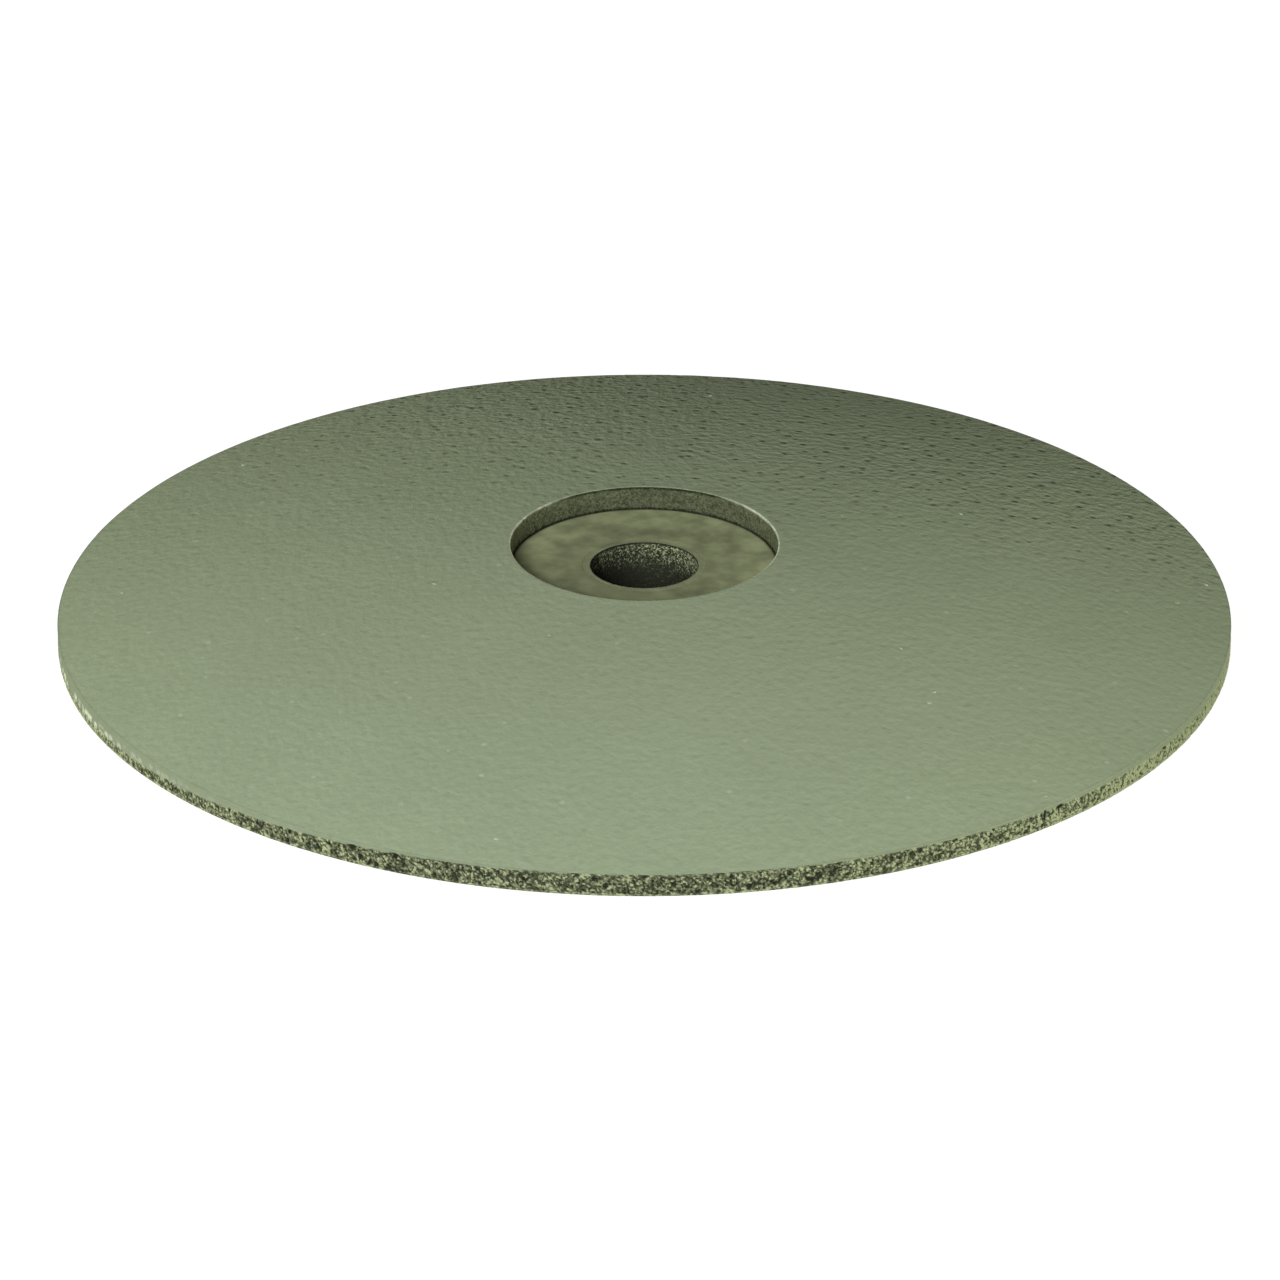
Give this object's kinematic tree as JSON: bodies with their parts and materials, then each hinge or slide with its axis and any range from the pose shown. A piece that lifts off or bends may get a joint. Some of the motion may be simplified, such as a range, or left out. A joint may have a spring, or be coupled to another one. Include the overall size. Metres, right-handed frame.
{
  "type": "diamond grinding wheel",
  "caption": "Small lens-shaped diamond grinding wheel with a narrow rim, a round recess in each face and a central bore for a mandrel screw.",
  "frame": {"origin": "middle of the bore, halfway between the two faces", "axes": "+Z along the bore axis, out of the face that the picture shows; X and Y across the wheel, which is the same all round"},
  "size_m": [0.022, 0.022, 0.0036],
  "materials": {
    "diamond_facing": "matte",
    "diamond_rim": "matte",
    "moulded_core": "matte",
    "hub_fibre": "satin",
    "bore_sleeve": "matte",
    "bond_resin": "satin"
  },
  "bodies": {
    "root": {"core_disc": "moulded_core", "upper_diamond_facing": "diamond_facing", "lower_diamond_facing": "diamond_facing", "diamond_rim_ring": "diamond_rim", "bore_sleeve": "bore_sleeve", "upper_hub_washer": "hub_fibre", "lower_hub_washer": "hub_fibre", "upper_facing_bond": "bond_resin", "lower_facing_bond": "bond_resin", "rim_bond": "bond_resin", "sleeve_bond": "bond_resin", "upper_washer_bond": "bond_resin", "lower_washer_bond": "bond_resin"}
  },
  "joints": []
}
